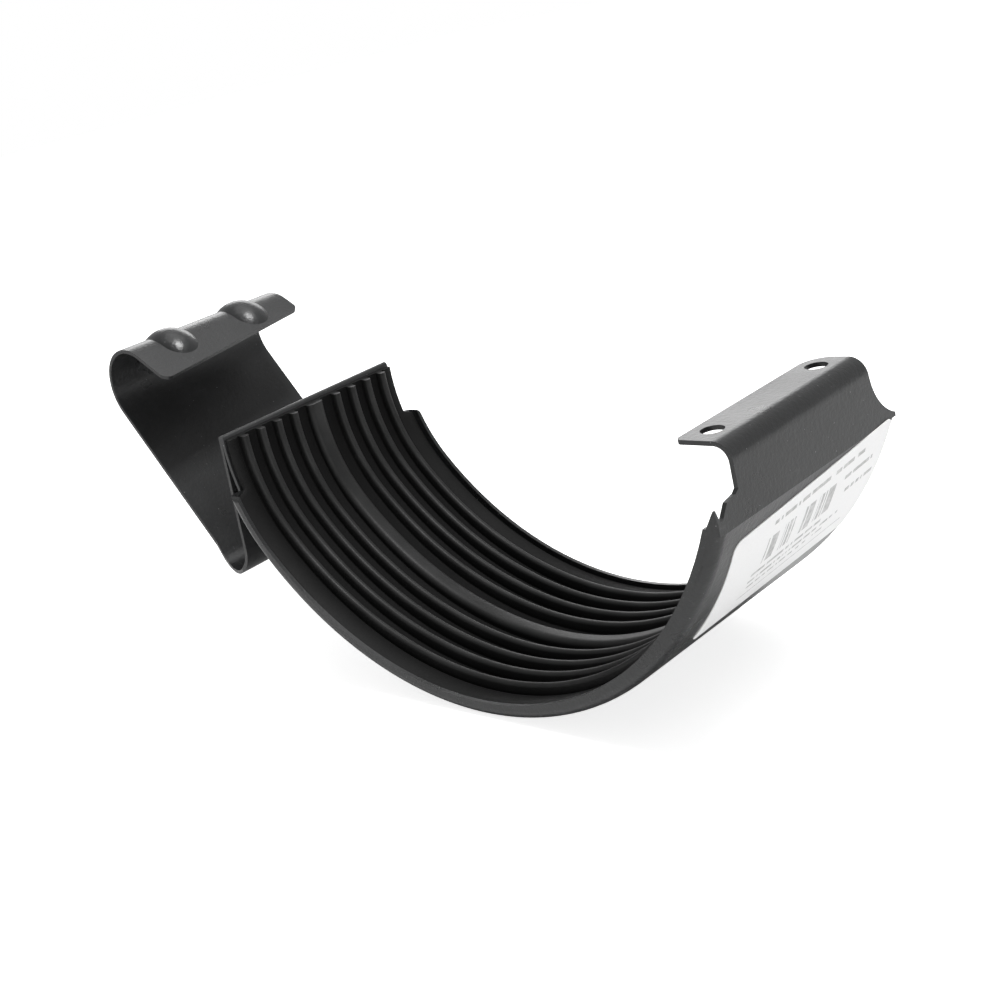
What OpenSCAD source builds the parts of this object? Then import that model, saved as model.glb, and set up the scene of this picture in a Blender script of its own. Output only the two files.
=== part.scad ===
// Gutter bracket (gutter union) for a half-round steel gutter: one folded steel sheet
// with a ribbed rubber gasket inside the seat and a plain label on the outer face.
// X runs across the gutter (rear flange at +X, front latch at -X), Y runs along it, Z is up.
// The origin lies on the axis of the gutter, at the middle of the seat.

/* [Seat] */
// Inner radius of the steel seat
seat_r = 67.7; // [62:0.1:80]
// Width of the seat along the gutter
seat_w = 53; // [50:0.5:80]
// Thickness of the coated sheet
sheet_t = 0.8; // [0.6:0.05:1.2]
// Angle below the axis at which the front of the seat turns upright
front_a = 37.5; // [34:0.5:42]
// Inner radius of the front of the seat
front_r = 33.5; // [28:0.5:40]
// Angle that the front of the seat turns through
front_sweep = 43; // [36:0.5:48]
// Radius of the free corners of the seat
seat_corner_r = 1.2; // [0.5:0.1:2]
// Outer radius of the bend that turns the seat's edges inwards
edge_r = 2; // [1.2:0.1:3]
// Height of the turned edges, over the whole sheet
edge_h = 3.1; // [3:0.1:4.5]

/* [Rear flange] */
// How far the rear wall stands inside the outer radius of the seat
wall_in = 5.7; // [4:0.1:8]
// Depth of the flange's upper face below the axis
flange_drop = 14.6; // [12:0.2:17]
// Reach of the flange over the gutter, from the wall's outer face
flange_len = 10.3; // [8:0.1:14]
// Width of the flange and the rear wall along the gutter
flange_w = 39.6; // [38:0.2:44]
// Radius of the flange's near free corner
flange_near_r = 1.2; // [0.8:0.2:5]
// Radius of the flange's far free corner
flange_far_r = 4.6; // [0.8:0.2:5]
// Outer radius of the bend between flange and wall
bend_r = 3.3; // [2:0.1:4]
// Diameter of the two flange holes
hole_d = 4; // [3:0.1:5]
// Distance between the two flange holes
hole_pitch = 30; // [24:0.5:32]
// Distance from the flange's free edge to the hole centres
hole_inset = 3.8; // [3.5:0.1:5]

/* [Rear corners] */
// Height of the rear wall below the flange before the far corner widens
far_flare_h = 2.4; // [1:0.2:4]
// Radius of the far corner's flare
far_flare_r = 10.4; // [9:0.2:12]
// Depth below the flange at which the near corner relief starts
relief_top = 8; // [7:0.1:9]
// Depth of the near corner relief
relief_d = 2.6; // [2:0.1:3.5]
// Height of the tooth that the relief leaves on the turned edge
tooth_h = 2.2; // [1:0.1:2.6]

/* [Front latch] */
// Width of the hem and the tongue under it
tongue_w = 46.8; // [44:0.2:48]
// Width of the latch plate and its hook
latch_w = 41.6; // [36:0.2:43]
// Height by which the hem's narrow part reaches down the seat
hem_h = 11.2; // [8:0.2:14]
// Distance of the lower fold's centre outside the hem
fold_out = 10; // [8.5:0.5:14]
// Distance of the lower fold's centre below the hem
fold_drop = 23.9; // [20:0.5:30]
// Outer radius of the lower fold
fold_r = 7.25; // [5:0.25:8]
// Distance of the hook's centre outside the lower fold's centre
hook_out = 20.2; // [16:0.2:24]
// Height of the hook's centre above the lower fold's centre
hook_up = 33.1; // [28:0.5:40]
// Outer radius of the hook
hook_r = 9.3; // [8.5:0.1:11]
// Angle above the horizontal at which the lip leaves the hook
lip_a = 58; // [50:1:66]
// Length of the straight lip at its near end
lip_near = 9.6; // [7:0.2:10]
// Length of the straight lip at its far end
lip_far = 4.6; // [4.4:0.2:10]
// Radius of the lip's free corners
lip_corner_r = 2; // [1:0.5:3]
// How far the rounds of the lip's corners run out over its edges
lip_run_out = 0.02; // [0.01:0.01:0.1]

/* [Pressed beads of the hook] */
// Number of beads
bead_n = 2; // [1:1:3]
// Distance between the beads
bead_pitch = 20; // [13:0.5:26]
// Width of a bead
bead_w = 8; // [6:0.2:9]
// Height of a bead
bead_h = 1.5; // [1:0.1:2]
// Angle above the horizontal of a bead's highest point
bead_a = 62; // [58:1:90]
// Radius of a bead along its crest
bead_out = 9; // [8:0.1:9.2]

/* [Gasket] */
// Distance of the gasket from the turned edges
gasket_gap = 0.5; // [0.2:0.1:1.5]
// Distance of the gasket from the narrow part's side edges
gasket_inset = 1.5; // [1:0.1:3]
// Thickness of the film that bonds the gasket
bond_t = 0.05; // [0.03:0.01:0.1]
// Thickness of the gasket in its grooves
base_t = 2.4; // [1.8:0.1:2.6]
// Thickness of the flat margins
margin_t = 2.8; // [2.7:0.1:3.2]
// Number of narrow ribs on each side of the broad one
rib_n = 3; // [1:1:3]
// Distance between neighbouring ribs
rib_pitch = 4.5; // [3.5:0.1:4.6]
// Width of a narrow rib
rib_w = 1.9; // [1.2:0.1:2.4]
// Height of the narrow ribs
rib_t = 4.2; // [3.8:0.1:4.8]
// Width of the broad middle rib
mid_w = 5; // [3:0.1:5.4]
// Height of the broad middle rib
mid_t = 3.8; // [3.4:0.1:4.4]
// Width of a groove
groove_w = 2.6; // [2:0.1:2.8]
// Angle below the axis at which the gasket ends at the rear
gasket_rear_a = 25; // [25:1:40]
// Distance of the gasket from the hem
gasket_drop = 0.4; // [0.3:0.1:3]

/* [Label] */
// Width of the label along the gutter
label_w = 46; // [20:1:46]
// Height of the label round the seat
label_h = 25; // [16:1:50]
// Thickness of the label
label_t = 0.15; // [0.1:0.05:0.3]
// Corner radius of the label
label_corner_r = 2; // [1:0.5:5]
// Offset of the label's middle from the middle of the seat
label_y = 3; // [-3:0.5:3]
// Angle below the axis of the label's middle
label_a = 35.3; // [35:0.1:60]
// Slant of the label
label_slant = 5.5; // [0:0.5:6]

/* [Hidden] */
$fn = 96;
cut_l = 200;
seat_out = seat_r + sheet_t;
flat_w = seat_w - 2 * edge_r;
edge_in_w = seat_w - 2 * sheet_t;
wall_x = seat_out - wall_in;
ridge_z = -sqrt(pow(seat_out, 2) - pow(wall_x, 2));
bend_c = [wall_x - bend_r, -flange_drop - bend_r];
tip_x = wall_x - flange_len;
hole_x = tip_x + hole_inset;
front_turn = 180 + front_a;
front_end = front_turn - front_sweep;
front_c = (seat_r - front_r) * dir(front_turn);
hem_c = front_c + (front_r + sheet_t) * dir(front_end);
step_z = hem_c[1] - hem_h;
fold_c = hem_c + [-fold_out, -fold_drop];
hook_c = fold_c + [-hook_out, hook_up];
tongue_a = atan2(fold_drop, fold_out) - acos(fold_r / norm(hem_c - fold_c));
plate_a = atan2(hook_up, -hook_out) + asin((hook_r - fold_r) / norm(hook_c - fold_c)) + 90;
lip_start = hook_c + hook_r * dir(lip_a);
lip_dir = dir(lip_a - 90);
lip_end = lip_start + lip_near * lip_dir;
lip_slant = atan2(lip_near - lip_far, latch_w);
bead_r = (pow(bead_w / 2, 2) + pow(bead_h, 2)) / (2 * bead_h);
bead_c = hook_c + (hook_r + bead_h - bead_out) * dir(bead_a);
gasket_w = edge_in_w - 2 * gasket_gap;
gasket_hem_w = tongue_w - 2 * gasket_inset;
rib_0 = mid_w / 2 + groove_w / 2 + rib_pitch / 2;
margin_y = rib_0 + (rib_n - 1) * rib_pitch + rib_pitch / 2 + groove_w / 2;
gasket_end = front_end + gasket_drop / front_r * 180 / PI;
edge_top_z = -flange_drop - relief_top;

function dir(a) = [cos(a), sin(a)];

// Extrudes a section drawn in X and Z along the gutter
module along(w)
    rotate([90, 0, 0]) linear_extrude(height = w, center = true) children();

// The angle range from a0 to a1 about the point c
module sector(c, r, a0, a1)
    polygon(concat([c], [for (i = [0:6]) c + 2 * r * dir(a0 + (a1 - a0) * i / 6)]));

// A bent length of sheet: inner radius r, thickness t
module bent(c, r, t, a0, a1)
    intersection() {
        translate(c) difference() {
            circle(r = r + t);
            circle(r = r);
        }
        sector(c, r + t, a0, a1);
    }

// A flat length of sheet from p to q, with its thickness on the left of that line
module flat(p, q, t) {
    u = (q - p) / norm(q - p);
    n = [-u[1], u[0]];
    polygon([p, q, q + t * n, p + t * n]);
}

module rear_section() {
    polygon([[tip_x, -flange_drop - sheet_t], [bend_c[0], -flange_drop - sheet_t],
             [bend_c[0], -flange_drop], [tip_x, -flange_drop]]);
    bent(bend_c, bend_r - sheet_t, sheet_t, 0, 90);
    polygon([[wall_x - sheet_t, ridge_z + 0.05], [wall_x, ridge_z + 0.05],
             [wall_x, bend_c[1]], [wall_x - sheet_t, bend_c[1]]]);
}

module tongue_section() {
    translate(hem_c) circle(r = sheet_t);
    flat(fold_c + fold_r * dir(tongue_a), hem_c, sheet_t);
}

module latch_section() {
    bent(fold_c, fold_r - sheet_t, sheet_t, plate_a - 360, tongue_a);
    flat(hook_c + hook_r * dir(plate_a), fold_c + fold_r * dir(plate_a), sheet_t);
    bent(hook_c, hook_r - sheet_t, sheet_t, lip_a, plate_a);
    flat(lip_end, lip_start, sheet_t);
}

// Plan of the flange, with its rounded free corners: near is at -Y, far at +Y
module flange_plan() {
    w = flange_w / 2;
    translate([tip_x + flange_far_r, -seat_w]) square([seat_r, 2 * seat_w]);
    for (c = [[-1, flange_near_r], [1, flange_far_r]]) scale([1, c[0]]) {
        translate([tip_x, 0]) square([seat_r, w - c[1]]);
        translate([tip_x + c[1], w - c[1] - 1]) square([seat_r, c[1] + 1]);
        translate([tip_x + c[1], w - c[1]]) circle(r = c[1]);
    }
}

// Side view of what is cut away beside the wall at the far corner
module far_cut() {
    z = -flange_drop - far_flare_h;
    translate([flange_w / 2, z]) square([seat_w, cut_l]);
    translate([flange_w / 2 + far_flare_r, z]) circle(r = far_flare_r);
}

// Side view of the relief at the near corner, which leaves a tooth on the turned edge
module near_cut() {
    y = -flange_w / 2;
    e = -seat_w / 2;
    z = edge_top_z;
    polygon([[y, cut_l], [y, z + 0.6], [y - 0.9, z], [y - 2.1, z - 0.2], [y - 3.3, z - 0.4],
             [e + 1.9, z - relief_d + 0.3], [e + 1.3, z - relief_d], [e + 0.9, z - relief_d + 0.4],
             [e + 0.3, z - relief_d + tooth_h], [e, z - relief_d + tooth_h], [e - 5, z], [e - 5, cut_l]]);
}

// Section view of what slopes the tooth back from the wall
module tooth_slope() {
    z = edge_top_z - relief_d + tooth_h;
    polygon([[wall_x - 0.3, z + 5], [wall_x - 0.3, z], [wall_x - 2.2, z - 3], [wall_x - 8, z - 3],
             [wall_x - 8, z + 5]]);
}

// Plan of the latch, which narrows round the lower fold
module latch_plan() {
    a = tongue_w / 2;
    b = latch_w / 2;
    polygon([[0, -a], [0, a], [fold_c[0] + fold_r / 2, a], [fold_c[0] - fold_r, b],
             [-cut_l, b], [-cut_l, -b], [fold_c[0] - fold_r, -b], [fold_c[0] + fold_r / 2, -a]]);
}

// What is cut from the lip beyond its slanted free edge and round its corners: X runs down
// the lip from its near end's edge, Y along the gutter
module lip_cut() {
    b = latch_w / 2;
    r = lip_corner_r;
    translate([0, -b]) rotate(lip_slant) {
        translate([0, -b]) square([hook_r, 4 * b]);
        corner_cut(90 - lip_slant, r);
        translate([0, latch_w / cos(lip_slant)]) scale([1, -1]) corner_cut(90 + lip_slant, r);
    }
}

// The sharp part of a corner at the origin between the line along +Y and one at the angle a
// from it towards -X, outside a round of radius r, which runs out over both lines a little
module corner_cut(a, r) {
    t = r / tan(a / 2);
    difference() {
        polygon([[0.5, -0.5], [0, t], [-r, t], t * [-sin(a), cos(a)]]);
        translate([-r, t]) circle(r = r + lip_run_out);
    }
}

// A pressed bead across the hook's crest, grown by g
module bead(g) {
    r = bead_r + g;
    translate([bead_c[0], 0, bead_c[1]]) rotate([90, 0, 0]) rotate_extrude()
        intersection() {
            translate([bead_out - bead_r, 0]) circle(r = r);
            translate([0, -2 * r]) square(4 * r);
        }
}

// The room inside the hook, which a bead's sheet doesn't enter
module hook_room() {
    r = hook_r - sheet_t;
    translate(hook_c) rotate(lip_a) {
        circle(r = r);
        translate([r - 3 * hook_r, -lip_near - 1]) square([3 * hook_r, lip_near + 1]);
    }
}

// Section of the two turned edges: X is the distance from the seat's axis
module edges_section() {
    for (s = [-1, 1]) scale([1, s]) {
        translate([seat_out - edge_r, seat_w / 2 - edge_r]) intersection() {
            difference() {
                circle(r = edge_r);
                circle(r = edge_r - sheet_t);
            }
            square(edge_r);
        }
        translate([seat_out - edge_h, seat_w / 2 - sheet_t])
            square([edge_h - edge_r, sheet_t]);
    }
}

// The seat with its upright front and its turned edges, built with the start of the
// upright front on the X axis and then turned. It runs on past the rear wall.
module seat() {
    a = 360 + atan2(edge_top_z, wall_x) - front_turn;
    rotate([90, 0, 0]) rotate([0, 0, front_turn]) {
        linear_extrude(height = flat_w, center = true) {
            bent([seat_r - front_r, 0], front_r, sheet_t, -front_sweep, 0);
            bent([0, 0], seat_r, sheet_t, 0, a);
        }
        rotate_extrude(angle = a) edges_section();
        translate([seat_r - front_r, 0, 0]) mirror([0, 1, 0])
            rotate_extrude(angle = front_sweep) translate([front_r - seat_r, 0]) edges_section();
    }
}

module seat_side_cut() {
    c = seat_corner_r;
    h = cut_l;
    for (s = [-1, 1]) scale([s, 1]) {
        translate([tongue_w / 2, step_z]) square([seat_w, h]);
        difference() {
            translate([seat_w / 2 - c, step_z - c]) square(2 * c);
            translate([seat_w / 2 - c, step_z - c]) circle(r = c);
        }
    }
}

module beads() {
    for (i = [0:bead_n - 1]) translate([0, (i - (bead_n - 1) / 2) * bead_pitch, 0]) children();
}

// Tongue, lower fold, latch plate, hook, lip and beads
module latch() {
    difference() {
        union() {
            along(tongue_w) tongue_section();
            intersection() {
                along(tongue_w) latch_section();
                translate([0, 0, -cut_l]) linear_extrude(height = 2 * cut_l) latch_plan();
            }
            difference() {
                beads() bead(0);
                along(latch_w) hook_room();
            }
        }
        beads() bead(-sheet_t);
        translate([lip_end[0], 0, lip_end[1]]) rotate([0, 90 - lip_a, 0])
            translate([0, 0, -hook_r / 2]) linear_extrude(height = hook_r) lip_cut();
    }
}

// Seat, rear wall and flange
module seat_and_flange() {
    difference() {
        union() {
            seat();
            along(edge_in_w + sheet_t) rear_section();
        }
        translate([wall_x, -seat_w, ridge_z - 1]) cube([seat_r, 2 * seat_w, cut_l]);
        difference() {
            translate([tip_x - 1, -seat_w, -flange_drop - bend_r])
                cube([seat_r, 2 * seat_w, cut_l]);
            translate([0, 0, -cut_l]) linear_extrude(height = 2 * cut_l) flange_plan();
        }
        translate([tip_x, 0, 0]) rotate([90, 0, 90]) linear_extrude(height = seat_r) {
            far_cut();
            near_cut();
        }
        translate([0, -flat_w / 2 - edge_r / 2, 0]) rotate([90, 0, 0])
            linear_extrude(height = seat_w) tooth_slope();
        translate([front_c[0] - cut_l, 0, 0]) rotate([90, 0, 90]) linear_extrude(height = cut_l)
            seat_side_cut();
        for (s = [-1, 1]) translate([hole_x, s * hole_pitch / 2, -flange_drop - 2 * sheet_t])
            cylinder(d = hole_d, h = 3 * sheet_t);
    }
}

module band() {
    color([0.16, 0.165, 0.17]) union() {
        seat_and_flange();
        latch();
    }
}

// Half of the gasket's section: X is its height over the sheet, Y runs along the gutter
module gasket_half() {
    w = gasket_w / 2;
    c = edge_r / 2;
    polygon([[0, 0], [0, w - c], [c, w], [margin_t, w], [margin_t, margin_y], [base_t, margin_y],
             [base_t, 0]]);
    square([mid_t - 0.5, mid_w / 2]);
    square([mid_t, mid_w / 2 - 0.5]);
    translate([mid_t - 0.5, mid_w / 2 - 0.5]) circle(r = 0.5);
    for (i = [0:rib_n - 1]) translate([0, rib_0 + i * rib_pitch]) {
        translate([0, -rib_w / 2]) square([rib_t - rib_w / 2, rib_w]);
        translate([rib_t - rib_w / 2, 0]) circle(r = rib_w / 2);
    }
}

// A length of the gasket: its back has the radius r, and it runs through the angle a
module gasket_length(r, a)
    rotate_extrude(angle = a) translate([r, 0]) scale([-1, 1]) {
        gasket_half();
        scale([1, -1]) gasket_half();
    }

module gasket() {
    color([0.05, 0.05, 0.052]) difference() {
        rotate([90, 0, 0]) rotate([0, 0, front_turn]) {
            gasket_length(seat_r - bond_t, 360 - gasket_rear_a - front_turn);
            translate([seat_r - front_r, 0, 0]) mirror([0, 1, 0])
                gasket_length(front_r - bond_t, front_turn - gasket_end);
        }
        for (s = [-1, 1]) translate([front_c[0] - cut_l, s * gasket_hem_w, step_z - gasket_inset])
            translate([0, -gasket_hem_w / 2, 0]) cube([cut_l, gasket_hem_w, cut_l]);
    }
}

module label() {
    w = label_w / 2 - label_corner_r;
    h = label_h / 2 - label_corner_r;
    color([0.93, 0.93, 0.92]) intersection() {
        along(flat_w) bent([0, 0], seat_out, label_t, 270 - label_a, 360);
        translate([0, label_y, 0]) rotate([0, 90 + label_a, 0]) rotate([0, 0, label_slant])
            linear_extrude(height = 2 * seat_out) {
                square([2 * h, label_w], center = true);
                square([label_h, 2 * w], center = true);
                for (a = [-h, h], b = [-w, w]) translate([a, b]) circle(r = label_corner_r);
            }
    }
}

band();
gasket();
label();
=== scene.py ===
"""Looks of the gutter bracket: coated sheet steel, ribbed rubber gasket, paper label."""

import math

import bpy
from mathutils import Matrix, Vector


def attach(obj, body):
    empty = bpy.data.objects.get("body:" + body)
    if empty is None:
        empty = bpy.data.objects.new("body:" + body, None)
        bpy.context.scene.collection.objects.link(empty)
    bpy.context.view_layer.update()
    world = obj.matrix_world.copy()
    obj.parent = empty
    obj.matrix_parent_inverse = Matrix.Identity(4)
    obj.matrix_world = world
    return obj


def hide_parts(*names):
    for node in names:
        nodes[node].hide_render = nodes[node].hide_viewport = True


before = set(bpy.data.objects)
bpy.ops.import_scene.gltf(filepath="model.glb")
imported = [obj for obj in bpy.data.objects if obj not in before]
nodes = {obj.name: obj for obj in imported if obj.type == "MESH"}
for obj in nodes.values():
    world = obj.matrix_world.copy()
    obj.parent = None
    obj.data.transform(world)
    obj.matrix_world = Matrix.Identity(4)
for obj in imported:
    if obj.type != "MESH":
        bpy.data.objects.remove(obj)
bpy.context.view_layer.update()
MM = 0.001
FLOOR_Z = -68.5 * MM


# ---- small helpers for shader nodes -------------------------------------------------
class Shader:
    """One material, with short calls for its nodes."""

    def __init__(self, name):
        self.mat = bpy.data.materials.new(name)
        self.mat.use_nodes = True
        self.nodes = self.mat.node_tree.nodes
        self.links = self.mat.node_tree.links
        self.nodes.clear()
        self.out = self.nodes.new("ShaderNodeOutputMaterial")

    def node(self, kind, **inputs):
        n = self.nodes.new(kind)
        for k, v in inputs.items():
            self.put(n.inputs[k.replace("_", " ")], v)
        return n

    def put(self, socket, v):
        if isinstance(v, bpy.types.NodeSocket):
            self.links.new(v, socket)
        else:
            socket.default_value = v

    def math(self, op, a, b=0.0):
        n = self.nodes.new("ShaderNodeMath")
        n.operation = op
        self.put(n.inputs[0], a)
        self.put(n.inputs[1], b)
        return n.outputs[0]

    def noise(self, vector, scale, detail=3.0, rough=0.5):
        n = self.node(
            "ShaderNodeTexNoise", Vector=vector, Scale=scale, Detail=detail, Roughness=rough
        )
        return n.outputs["Fac"]

    def ramp(self, value, lo, hi, to_lo=0.0, to_hi=1.0):
        n = self.node(
            "ShaderNodeMapRange", Value=value, From_Min=lo, From_Max=hi, To_Min=to_lo, To_Max=to_hi
        )
        return n.outputs[0]

    def mix(self, fac, a, b):
        n = self.nodes.new("ShaderNodeMix")
        n.data_type = "RGBA"
        self.put(n.inputs[0], fac)
        self.put(n.inputs[6], a)
        self.put(n.inputs[7], b)
        return n.outputs[2]

    def bump(self, height, distance, strength):
        n = self.node("ShaderNodeBump", Height=height, Distance=distance, Strength=strength)
        return n.outputs[0]

    def principled(self, **inputs):
        n = self.node("ShaderNodeBsdfPrincipled", **inputs)
        self.links.new(n.outputs[0], self.out.inputs[0])


def grey(v, tint=0.0):
    return (v * (1 - tint), v, v * (1 + tint), 1.0)


# ---- materials ----------------------------------------------------------------------
def coated_steel():
    s = Shader("coated_steel")
    at = s.node("ShaderNodeTexCoord").outputs["Object"]
    peel = s.noise(at, 1300.0, 2.0)
    grain = s.noise(at, 5200.0, 2.0)
    patch = s.noise(at, 60.0, 3.0)
    drawn = s.node("ShaderNodeMapping", Vector=at)
    drawn.inputs["Scale"].default_value = (1.0, 0.12, 1.0)
    rubs = s.noise(drawn.outputs[0], 900.0, 4.0, 0.65)
    rubs = s.math("MULTIPLY", s.ramp(rubs, 0.60, 0.72), s.ramp(patch, 0.48, 0.62))
    specks = s.ramp(s.noise(at, 1900.0, 1.0), 0.77, 0.80)
    height = s.math("ADD", peel, s.math("MULTIPLY", grain, 0.30))
    colour = s.mix(s.ramp(patch, 0.3, 0.7), grey(0.020, 0.02), grey(0.029, 0.02))
    colour = s.mix(s.math("MULTIPLY", rubs, 0.35), colour, grey(0.10))
    colour = s.mix(s.math("MULTIPLY", specks, 0.5), colour, grey(0.30))
    coat = s.ramp(patch, 0.3, 0.7, 0.26, 0.34)
    s.principled(
        Base_Color=colour,
        Roughness=s.math("ADD", coat, s.math("MULTIPLY", rubs, 0.12)),
        Specular_IOR_Level=0.5,
        Normal=s.bump(height, 0.07 * MM, 0.8),
    )
    return s.mat


def gasket_rubber():
    s = Shader("gasket_rubber")
    at = s.node("ShaderNodeTexCoord").outputs["Object"]
    fine = s.noise(at, 2400.0, 3.0)
    dust = s.noise(at, 120.0, 4.0)
    stands = s.nodes.new("ShaderNodeAttribute")
    stands.attribute_name = "height"
    # Painted shade: by the "height" attribute the grooves are coloured nearly black and the rib
    # tops lighter; the rib tops are also less rough
    groove_shade_fade = s.ramp(stands.outputs["Fac"], 0.25, 0.9)
    bloom = s.mix(s.ramp(dust, 0.40, 0.75), grey(0.018), grey(0.028))
    matt = s.ramp(fine, 0.3, 0.7, 0.0, 0.08)
    s.principled(
        Base_Color=s.mix(groove_shade_fade, grey(0.0015), bloom),
        Roughness=s.math("ADD", s.ramp(groove_shade_fade, 0.0, 1.0, 0.72, 0.42), matt),
        Specular_IOR_Level=0.22,
        Normal=s.bump(fine, 0.04 * MM, 0.5),
    )
    return s.mat


# The label lies on the seat: its middle, slant and size, as in the part's source
LABEL_R = 68.6 * MM
LABEL_Y = 3.0 * MM
LABEL_ANGLE = math.radians(35.3)
LABEL_SLANT = math.radians(5.5)
# Printed rows of generic dashes and bars: from and to across, from and to down, width of a
# bar, share of them inked. All in mm from the label's middle, and none of it is readable.
ROWS = [
    (-11.5, 15.0, -10.3, -9.4, 0.55, 0.72),
    (-12.0, -8.6, -6.8, -0.8, 0.32, 0.62),
    (-7.4, -3.8, -7.0, -0.8, 0.40, 0.66),
    (-2.8, 1.6, -7.0, -0.8, 0.36, 0.60),
    (2.6, 7.8, -7.0, -0.8, 0.42, 0.66),
    (9.8, 18.6, -7.0, -6.1, 0.50, 0.75),
    (11.6, 20.0, -3.2, -2.3, 0.50, 0.75),
    (-13.5, 6.4, 0.7, 1.5, 0.52, 0.80),
    (-13.5, 12.6, 2.7, 3.4, 0.48, 0.70),
    (-13.0, 9.0, 4.6, 5.2, 0.48, 0.66),
    (-14.0, 16.4, 7.3, 7.6, 60.0, 1.00),
]


def label_paper():
    s = Shader("label_paper")
    at = s.node("ShaderNodeTexCoord").outputs["Object"]
    xyz = s.node("ShaderNodeSeparateXYZ", Vector=at).outputs
    turn = s.math("ARCTAN2", s.math("MULTIPLY", xyz[2], -1.0), xyz[0])
    down = s.math("MULTIPLY", s.math("SUBTRACT", turn, LABEL_ANGLE), LABEL_R / MM)
    along = s.math("MULTIPLY", s.math("SUBTRACT", xyz[1], LABEL_Y), 1 / MM)
    c, k = math.cos(LABEL_SLANT), math.sin(LABEL_SLANT)
    u = s.math("SUBTRACT", s.math("MULTIPLY", along, c), s.math("MULTIPLY", down, k))
    v = s.math("ADD", s.math("MULTIPLY", down, c), s.math("MULTIPLY", along, k))
    ink = None
    for n, (u0, u1, v0, v1, width, share) in enumerate(ROWS):
        inside = s.math("MULTIPLY", s.math("GREATER_THAN", u, u0), s.math("LESS_THAN", u, u1))
        inside = s.math("MULTIPLY", inside, s.math("GREATER_THAN", v, v0))
        inside = s.math("MULTIPLY", inside, s.math("LESS_THAN", v, v1))
        white = s.nodes.new("ShaderNodeTexWhiteNoise")
        white.noise_dimensions = "1D"
        cell = s.math("FLOOR", s.math("DIVIDE", s.math("ADD", u, 100.0 + 31.0 * n), width))
        s.put(white.inputs["W"], cell)
        inked = s.math("MULTIPLY", inside, s.math("LESS_THAN", white.outputs["Value"], share))
        ink = inked if ink is None else s.math("MAXIMUM", ink, inked)
    fibre = s.noise(at, 3000.0, 4.0)
    worn = s.noise(at, 900.0, 3.0)
    ink = s.math("MULTIPLY", ink, s.ramp(worn, 0.35, 0.65, 0.55, 1.0))
    paper = s.mix(s.ramp(fibre, 0.3, 0.7), grey(0.86), grey(0.90))
    s.principled(
        Base_Color=s.mix(ink, paper, grey(0.42)),
        Roughness=0.6,
        Specular_IOR_Level=0.4,
        Normal=s.bump(fibre, 0.02 * MM, 0.4),
    )
    return s.mat


LOOKS = {"band": coated_steel(), "gasket": gasket_rubber(), "label": label_paper()}
for name, mat in LOOKS.items():
    mesh = nodes[name].data
    mesh.materials.clear()
    mesh.materials.append(mat)

# ---- the gasket, with its moulded section, in mm and degrees ------------------------
# Inside radius of the seat and of its tighter front, and the bond under the rubber
SEAT_R, FRONT_R, SHEET_BOND = 67.7, 33.5, 0.05
# Angles at which the gasket starts, the radius changes, and the gasket ends
REAR_END, FRONT_TURN, FRONT_END = 335.0, 217.5, 174.6
SEAT_STEPS, FRONT_STEPS = 150, 60
# Half width in the seat and at the hem, and the height and length of the step between them
GASKET_HALF, HEM_HALF, STEP_Z = 25.2, 23.1, -28.7
STEP_LEAD, STEP_RUN = 1.2, 1.6
# Heights over the seat, and widths, of the ribs and of the wider middle rib
BASE_T, MARGIN_T, RIB_T, MID_T = 0.8, 1.5, 3.4, 3.0
RIB_W, MID_W, MID_ROLL = 1.55, 4.1, 1.3
RIB_PLACES = (6.05, 10.55, 15.05, 19.55)
# Small foot of a rib: how far out it starts, how far out and up it bends, where it ends
FOOT_OUT, FOOT_BEND_OUT, FOOT_BEND_UP, FOOT_UP = 0.4, 0.1, 0.12, 0.4
# Margins: cut lower corner, eased upper edge, and their slope down to the first groove
CORNER_IN, CORNER_UP = 0.55, 0.35
EASE, EASE_BEND = 0.4, 0.12
MARGIN_GAP, MARGIN_RUN, MARGIN_DROP = 0.7, 0.15, 0.1
# Toward the front, what stands over the foot gets lower by this share, over these degrees
THIN_SHARE, THIN_FROM, THIN_RUN, THIN_OVER = 0.24, 250.0, 45.0, 0.3
# What the margins have in the "height" attribute, which is 0 in a groove and 1 on a rib and sets
# how much painted groove shade the colour gets
MARGIN_LOOK = 0.45


def ridge(middle, width, top, roll, steps=6):
    """Points over one rib, from -Y to +Y: straight sides with a rounded top and a small foot."""
    half = width / 2
    side = [
        (-half - FOOT_OUT, BASE_T),
        (-half - FOOT_BEND_OUT, BASE_T + FOOT_BEND_UP),
        (-half, BASE_T + FOOT_UP),
    ]
    for n in range(steps + 1):
        a = math.pi / 2 * n / steps
        side.append((-half + roll - roll * math.cos(a), top - roll + roll * math.sin(a)))
    # a full round has one point at its top, and a flat top has two
    rising = side[:-1] if roll == half else side
    return [(middle + y, t) for y, t in rising] + [(middle - y, t) for y, t in reversed(side)]


def gasket_section():
    """The ribbed face of the section, as (Y, height above the seat)."""
    points = []
    places = [-y for y in reversed(RIB_PLACES)] + [0.0] + list(RIB_PLACES)
    for y in places:
        if y == 0.0:
            points += ridge(y, MID_W, MID_T, MID_ROLL)
        else:
            points += ridge(y, RIB_W, RIB_T, RIB_W / 2)
    return points


def between(value):
    return min(max(value, 0.0), 1.0)


def stations():
    """Where sections stand along the seat, rear to front, as (centre, radius, angle)."""
    front = math.radians(FRONT_TURN)
    centre = Vector((math.cos(front), math.sin(front))) * (SEAT_R - FRONT_R)
    for n in range(SEAT_STEPS + 1):
        yield Vector((0, 0)), SEAT_R, REAR_END - n * (REAR_END - FRONT_TURN) / SEAT_STEPS
    for n in range(1, FRONT_STEPS + 1):
        yield centre, FRONT_R, FRONT_TURN - n * (FRONT_TURN - FRONT_END) / FRONT_STEPS


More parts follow.
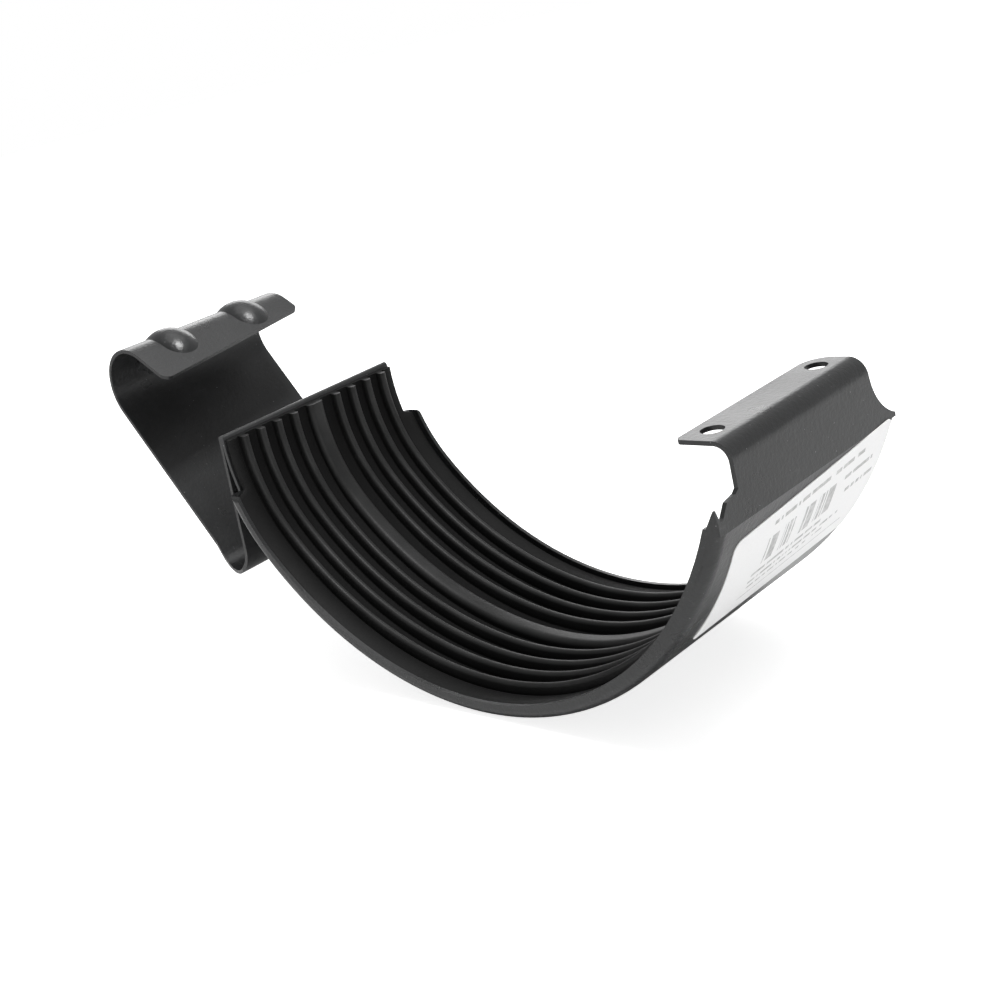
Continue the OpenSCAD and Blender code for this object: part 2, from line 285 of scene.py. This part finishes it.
def gasket_mesh():
    free = gasket_section()
    inner = RIB_PLACES[-1] + RIB_W / 2 + MARGIN_GAP
    verts, heights, rings = [], [], 0
    for c, radius, angle in stations():
        a = math.radians(angle)
        outward = Vector((math.cos(a), math.sin(a)))
        thin = 1.0 - THIN_SHARE * between((THIN_FROM - angle) / THIN_RUN)
        z = c.y + radius * outward.y
        step = between((z - STEP_Z + STEP_LEAD) / STEP_RUN)
        half = GASKET_HALF + (HEM_HALF - GASKET_HALF) * step * step * (3 - 2 * step)
        edge = [
            # the lower corner is cut off, to clear the bend of the seat's turned edge
            (half - CORNER_IN, 0.0),
            (half, CORNER_UP),
            (half, MARGIN_T - EASE),
            (half - EASE_BEND, MARGIN_T - EASE_BEND),
            (half - EASE, MARGIN_T),
            (inner, MARGIN_T),
            (inner - MARGIN_RUN, MARGIN_T - MARGIN_DROP),
        ]
        ring = [(-y, t) for y, t in edge] + free + list(reversed(edge))
        count = len(ring)
        rings += 1
        for y, t in ring:
            height = t if t <= BASE_T + THIN_OVER else BASE_T + (t - BASE_T) * thin
            p = c + outward * (radius - SHEET_BOND - height)
            verts.append(Vector((p.x, y, p.y)) * MM)
            look = MARGIN_LOOK if abs(y) > inner else between((t - BASE_T) / (MID_T - BASE_T))
            heights.append(look)
    faces = [tuple(reversed(range(count))), tuple(range(len(verts) - count, len(verts)))]
    for m in range(rings - 1):
        for n in range(count):
            k = (n + 1) % count
            a, b = m * count, (m + 1) * count
            faces.append((a + n, a + k, b + k, b + n))
    mesh = bpy.data.meshes.new("gasket_moulded")
    mesh.from_pydata(verts, [], faces)
    mesh.update()
    stands = mesh.attributes.new("height", "FLOAT", "POINT")
    stands.data.foreach_set("value", heights)
    mesh.shade_smooth()
    mesh.set_sharp_from_angle(angle=math.radians(40))
    mesh.materials.append(LOOKS["gasket"])
    return mesh


gasket = bpy.data.objects.new("gasket_moulded", gasket_mesh())
bpy.context.scene.collection.objects.link(gasket)
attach(gasket, "root")
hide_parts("gasket")

# ---- floor, light and camera --------------------------------------------------------
# Share of white that the floor shows of itself, to the camera alone
FLOOR_GLOW = 0.78
# The studio's light comes more from one side: its direction, and its strength away from it
# and toward it
LIGHT_FROM, LIGHT_SPAN, LIGHT_LEVELS = (-0.55, 0.78, -0.30), (-0.7, 0.9), (0.20, 0.60)
bpy.ops.mesh.primitive_plane_add(size=6.0, location=(0, 0, FLOOR_Z))
floor = bpy.context.object
floor.name = "floor"
fs = Shader("floor")
seen = fs.nodes.new("ShaderNodeLightPath").outputs["Is Camera Ray"]
fs.principled(
    Base_Color=fs.mix(seen, grey(0.88), grey(0.9)),
    Roughness=0.9,
    Specular_IOR_Level=0.1,
    Emission_Color=grey(1.0),
    Emission_Strength=fs.math("MULTIPLY", seen, FLOOR_GLOW),
)
floor.data.materials.append(fs.mat)

scene = bpy.context.scene
world = bpy.data.worlds.new("studio")
scene.world = world
world.use_nodes = True
wn, wl = world.node_tree.nodes, world.node_tree.links
wn.clear()
bg = wn.new("ShaderNodeBackground")
white = wn.new("ShaderNodeBackground")
white.inputs["Color"].default_value = (1, 1, 1, 1)
white.inputs["Strength"].default_value = 1.0
bg.inputs["Color"].default_value = (1, 1, 1, 1)
toward = wn.new("ShaderNodeTexCoord")
turned = wn.new("ShaderNodeVectorMath")
turned.operation = "DOT_PRODUCT"
turned.inputs[1].default_value = LIGHT_FROM
level = wn.new("ShaderNodeMapRange")
level.inputs["From Min"].default_value, level.inputs["From Max"].default_value = LIGHT_SPAN
level.inputs["To Min"].default_value, level.inputs["To Max"].default_value = LIGHT_LEVELS
wl.new(toward.outputs["Generated"], turned.inputs[0])
wl.new(turned.outputs["Value"], level.inputs["Value"])
wl.new(level.outputs[0], bg.inputs["Strength"])
path = wn.new("ShaderNodeLightPath")
mixer = wn.new("ShaderNodeMixShader")
wout = wn.new("ShaderNodeOutputWorld")
wl.new(path.outputs["Is Camera Ray"], mixer.inputs[0])
wl.new(bg.outputs[0], mixer.inputs[1])
wl.new(white.outputs[0], mixer.inputs[2])
wl.new(mixer.outputs[0], wout.inputs[0])


def softbox(name, where, aim, size, power):
    """A soft lamp in metres and watts, which the camera doesn't see."""
    lamp = bpy.data.lights.new(name, "AREA")
    lamp.shape = "RECTANGLE"
    lamp.size, lamp.size_y = size
    lamp.energy = power
    obj = bpy.data.objects.new(name, lamp)
    scene.collection.objects.link(obj)
    obj.location = where
    obj.rotation_mode = "QUATERNION"
    obj.rotation_quaternion = (Vector(aim) - Vector(where)).to_track_quat("-Z", "Y")
    obj.visible_camera = False


softbox("top", (-0.1, 0.2, 0.9), (0, 0, -0.03), (0.8, 0.8), 2.4)
softbox("back", (-0.82, 0.80, 0.40), (0, 0, -0.03), (0.8, 0.4), 2.8)
softbox("side", (0.9, -0.3, -0.02), (0, 0, -0.03), (0.5, 0.5), 3.6)
softbox("key", (0.36, 0.06, 1.10), (-0.05, 0, -0.02), (0.22, 0.22), 9)

cam = bpy.data.objects.new("camera", bpy.data.cameras.new("camera"))
scene.collection.objects.link(cam)
scene.camera = cam
cam.data.sensor_width = 36.0
cam.data.lens = 55.8
cam.location = Vector((198.6, -193.7, 57.0)) * MM
cam.rotation_euler = [math.radians(a) for a in (71.24, 13.02, 42.74)]
cam.data.clip_start, cam.data.clip_end = 0.01, 20.0
scene.view_settings.view_transform = "Standard"
